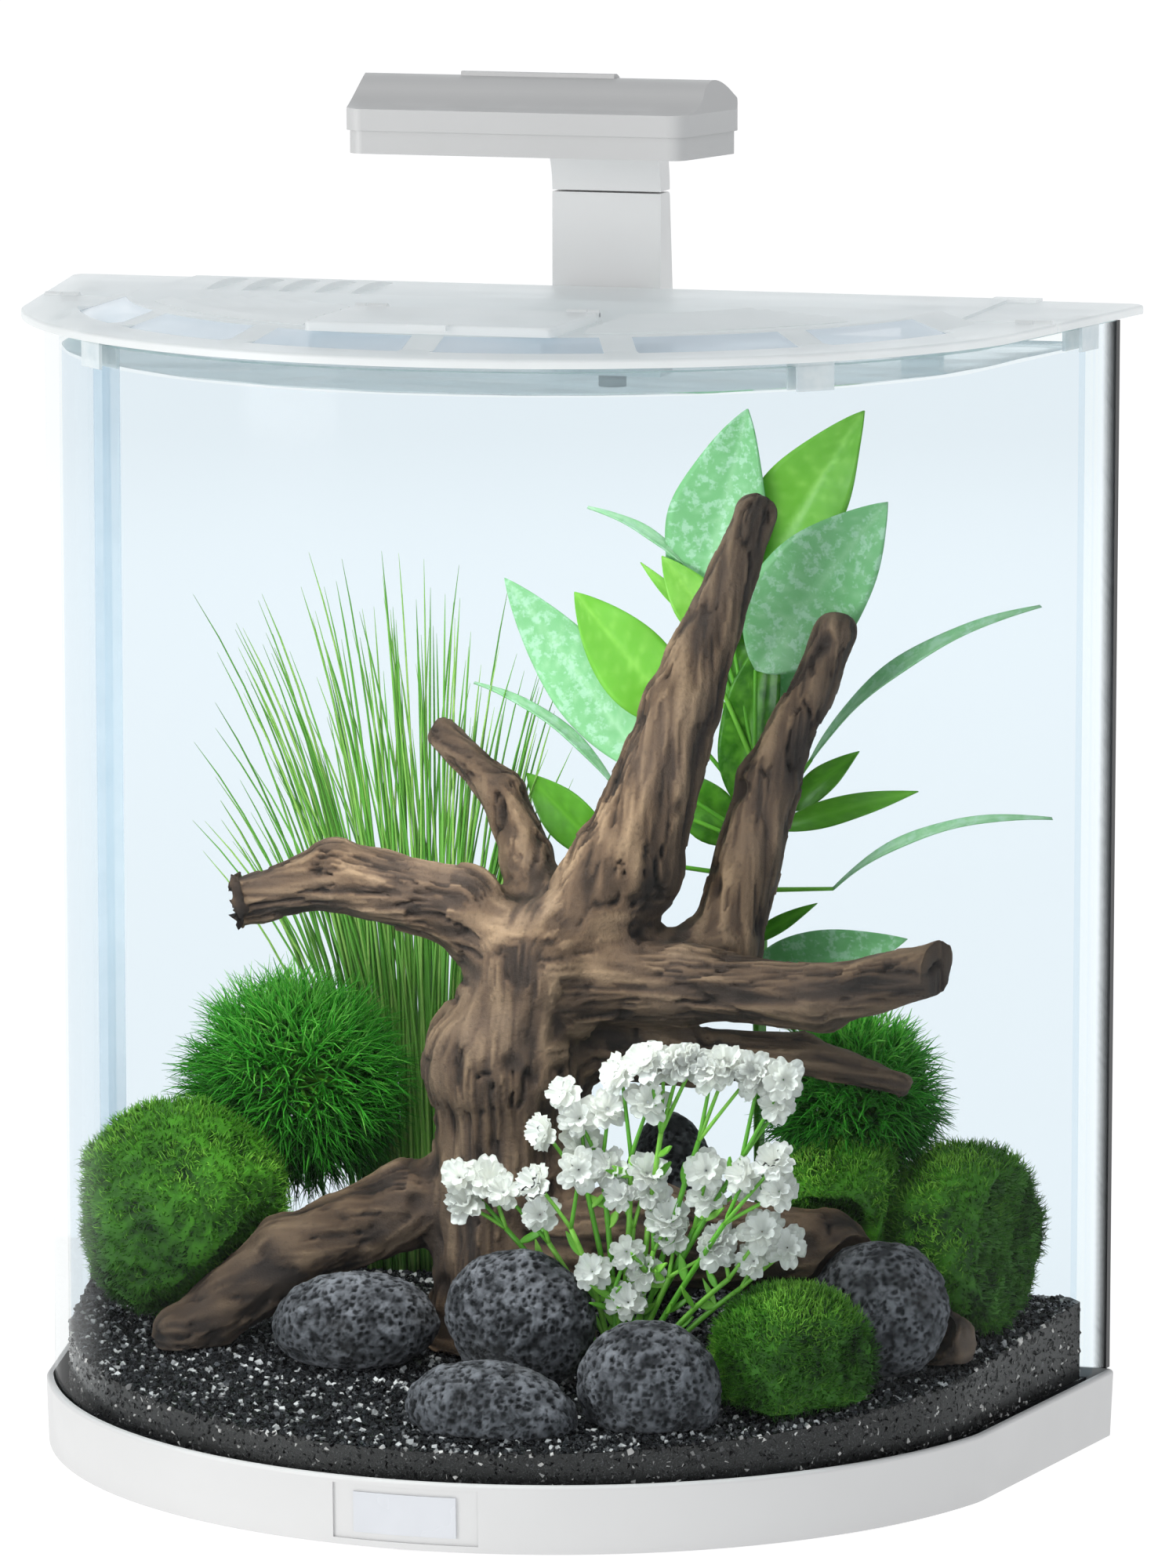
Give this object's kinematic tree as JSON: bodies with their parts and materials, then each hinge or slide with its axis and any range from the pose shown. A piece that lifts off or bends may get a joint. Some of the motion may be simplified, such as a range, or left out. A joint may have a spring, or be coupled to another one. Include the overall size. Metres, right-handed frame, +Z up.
{
  "type": "glass aquarium tank",
  "caption": "Half-moon glass aquarium with planted contents, a hinged vented cover with a feeding hatch, and a fold-back lamp on a rear column.",
  "frame": {"origin": "centre of the bounding box in plan, on the surface that the feet stand on", "axes": "+Z up, +X to the right seen from the front, +Y from the curved front towards the flat rear pane"},
  "size_m": [0.3946, 0.2636, 0.4846],
  "materials": {
    "base_plastic": "satin white moulding",
    "badge_plastic": "plain satin grey plate",
    "rubber_black": "matt black rubber",
    "foam": "black closed-cell foam",
    "tank_glass": "clear float glass, faint green edge",
    "silicone": "satin black silicone",
    "silicone_clear": "clear silicone, slightly milky",
    "clip_plastic": "translucent clear-white plastic",
    "cover_plastic": "frosted translucent white plastic",
    "window_plastic": "clear plastic with a faint blue tint",
    "pin_steel": "stainless steel",
    "lamp_plastic": "satin pale grey moulding",
    "diffuser_plastic": "opal plastic",
    "led": "white light-emitting chips",
    "board": "white solder mask",
    "aluminium": "bare aluminium plate",
    "gravel": "black gravel with pale sparkles",
    "lava_stone": "grey pitted lava rock",
    "driftwood": "weathered grey-brown root wood with dark cracks",
    "moss": "dense soft moss",
    "long_grass": "bright green needle-like blades",
    "flowers": "white ruffled blooms on green stems",
    "leaves": "broad glossy leaves",
    "fine_grass": "fine hair-like blades"
  },
  "bodies": {
    "tank": {"base_frame": "base_plastic", "badge_plate": "badge_plastic", "rubber_feet": "rubber_black", "foam_mat": "foam", "floor_glass": "tank_glass", "front_glass": "tank_glass", "rear_glass": "tank_glass", "silicone_seam_left": "silicone_clear", "silicone_seam_right": "silicone", "floor_seal": "silicone", "rim_clips": "clip_plastic", "cover_rear_strip": "cover_plastic", "cable_clip": "cover_plastic", "lid_hinge_pins": "pin_steel", "lamp_bracket": "lamp_plastic", "bracket_pads": "rubber_black", "bracket_screws": "pin_steel", "lamp_column_front": "lamp_plastic", "lamp_column_rear": "lamp_plastic", "cable_gland": "rubber_black", "fold_pin": "pin_steel", "gravel_bed": "gravel", "lava_stone_1": "lava_stone", "lava_stone_2": "lava_stone", "lava_stone_3": "lava_stone", "lava_stone_4": "lava_stone", "lava_stone_5": "lava_stone", "lava_stone_6": "lava_stone", "driftwood": "driftwood", "moss_ball_1": "moss", "moss_ball_2": "moss", "moss_ball_3": "moss", "moss_ball_4": "moss", "grass_ball_left": "long_grass", "grass_ball_right": "long_grass", "flower_plant": "flowers", "broad_leaf_plant": "leaves", "grass_clump": "fine_grass"},
    "lid": {"cover_lid": "cover_plastic", "lid_windows": "window_plastic", "hatch_pins": "pin_steel"},
    "hatch": {"feed_hatch": "cover_plastic"},
    "lamp": {"lamp_arm_lower": "lamp_plastic", "lamp_arm_upper": "lamp_plastic", "head_lower": "lamp_plastic", "head_upper": "lamp_plastic", "head_cap": "lamp_plastic", "head_screws": "pin_steel", "diffuser": "diffuser_plastic", "led_chips": "led", "led_board": "board", "heat_spreader": "aluminium"}
  },
  "joints": [
    {"name": "lid_hinge", "type": "hinge", "parent": "tank", "child": "lid", "pos_m": [0, 0.03384, 0.4017], "axis": [-1, 0, 0], "range_deg": [0, 45]},
    {"name": "hatch_hinge", "type": "hinge", "parent": "lid", "child": "hatch", "pos_m": [0, -0.03956, 0.409], "axis": [-1, 0, 0], "range_deg": [0, 60]},
    {"name": "lamp_fold", "type": "hinge", "parent": "tank", "child": "lamp", "pos_m": [0, 0.12484, 0.4316], "axis": [-1, 0, 0], "range_deg": [0, 90]}
  ]
}
